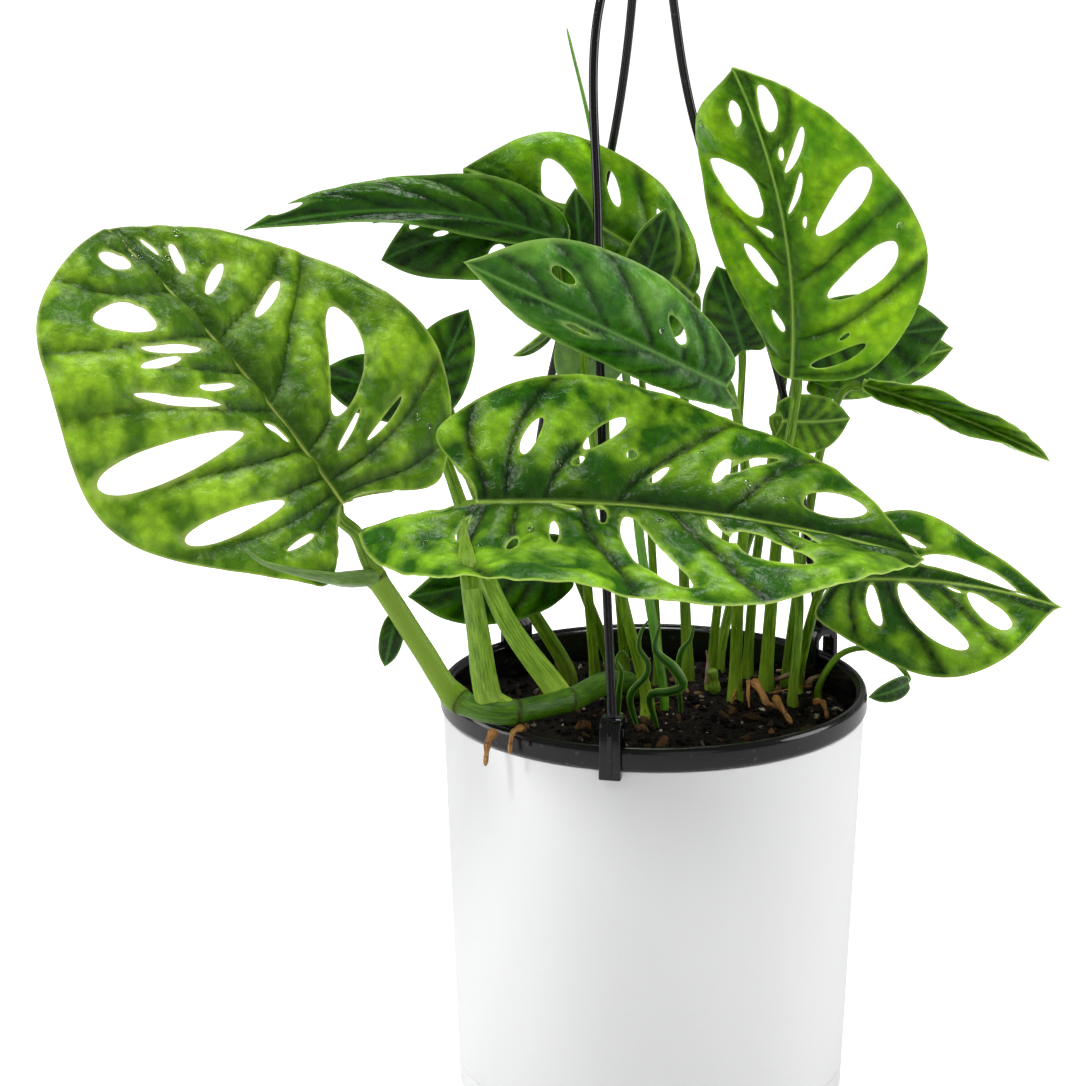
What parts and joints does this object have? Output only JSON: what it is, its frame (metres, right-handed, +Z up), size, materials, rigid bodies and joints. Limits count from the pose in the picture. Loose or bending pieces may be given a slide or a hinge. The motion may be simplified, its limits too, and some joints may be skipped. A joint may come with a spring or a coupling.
{
  "type": "potted monstera plant in a hanging pot",
  "caption": "Young Swiss cheese vine with holed leaves on long stalks, in a round white pot with a black rim, hung from a black strand hanger with a hook.",
  "frame": {"origin": "middle of the pot's underside, where it would stand", "axes": "+Z up the pot's axis to the hanger, -Y to the front, where one strand comes down, +X to the right"},
  "size_m": [0.3408, 0.2112, 0.4751],
  "materials": {
    "white_plastic": "smooth off-white moulded plastic",
    "black_plastic": "glossy black moulded plastic",
    "soil": "dark potting mix with bark and perlite",
    "leaf_bright": "waxy yellow-green leaf",
    "leaf_dark": "waxy dark green leaf",
    "stalk": "smooth green stem",
    "new_leaf": "grey-green rolled leaf",
    "root": "brown aerial root"
  },
  "bodies": {
    "root": {"saucer": "white_plastic", "cover_pot": "white_plastic", "nursery_pot": "black_plastic", "soil": "soil", "hanger_hook": "black_plastic", "hanger_strand_front": "black_plastic", "hanger_strand_back_left": "black_plastic", "hanger_strand_back_right": "black_plastic", "vine": "stalk", "leaf_left_big": "leaf_bright", "leaf_front_big": "leaf_bright", "leaf_upper_right": "leaf_bright", "leaf_middle": "leaf_bright", "leaf_back_arch": "leaf_bright", "leaf_left_long": "leaf_dark", "leaf_left_low": "leaf_dark", "leaf_right_narrow": "leaf_bright", "leaf_bottom_right": "leaf_bright", "leaf_small_a": "leaf_bright", "leaf_small_b": "leaf_dark", "leaf_back_dark": "leaf_dark", "leaf_behind_left_a": "leaf_dark", "leaf_behind_left_b": "leaf_dark", "leaf_right_dark": "leaf_dark", "leaf_right_bright": "leaf_bright", "leaf_under_right": "leaf_bright", "leaf_mid_dark": "leaf_dark", "leaf_small_left": "leaf_bright", "leaf_under_mid": "leaf_dark", "leaf_low_dark": "leaf_dark", "leaf_curl_left": "leaf_bright", "leaf_rim_small": "leaf_bright", "stalk_left_big": "stalk", "stalk_front_big": "stalk", "stalk_upper_right": "stalk", "stalk_middle": "stalk", "stalk_back_arch": "stalk", "stalk_left_long": "stalk", "stalk_left_low": "stalk", "stalk_small_a": "stalk", "stalk_back_dark": "stalk", "stalk_behind_left_a": "stalk", "stalk_behind_left_b": "stalk", "stalk_right_dark": "stalk", "stalk_right_bright": "stalk", "stalk_right_narrow": "stalk", "stalk_bottom_right": "stalk", "stalk_under_right": "stalk", "stalk_mid_dark": "stalk", "stalk_under_mid": "stalk", "stalk_low_dark": "stalk", "stalk_rim_small": "stalk", "new_leaf_left": "new_leaf", "new_leaf_top": "new_leaf", "root_rim_left": "root", "root_rim_right": "root", "root_soil_left": "root", "root_soil_right": "root"}
  },
  "joints": []
}
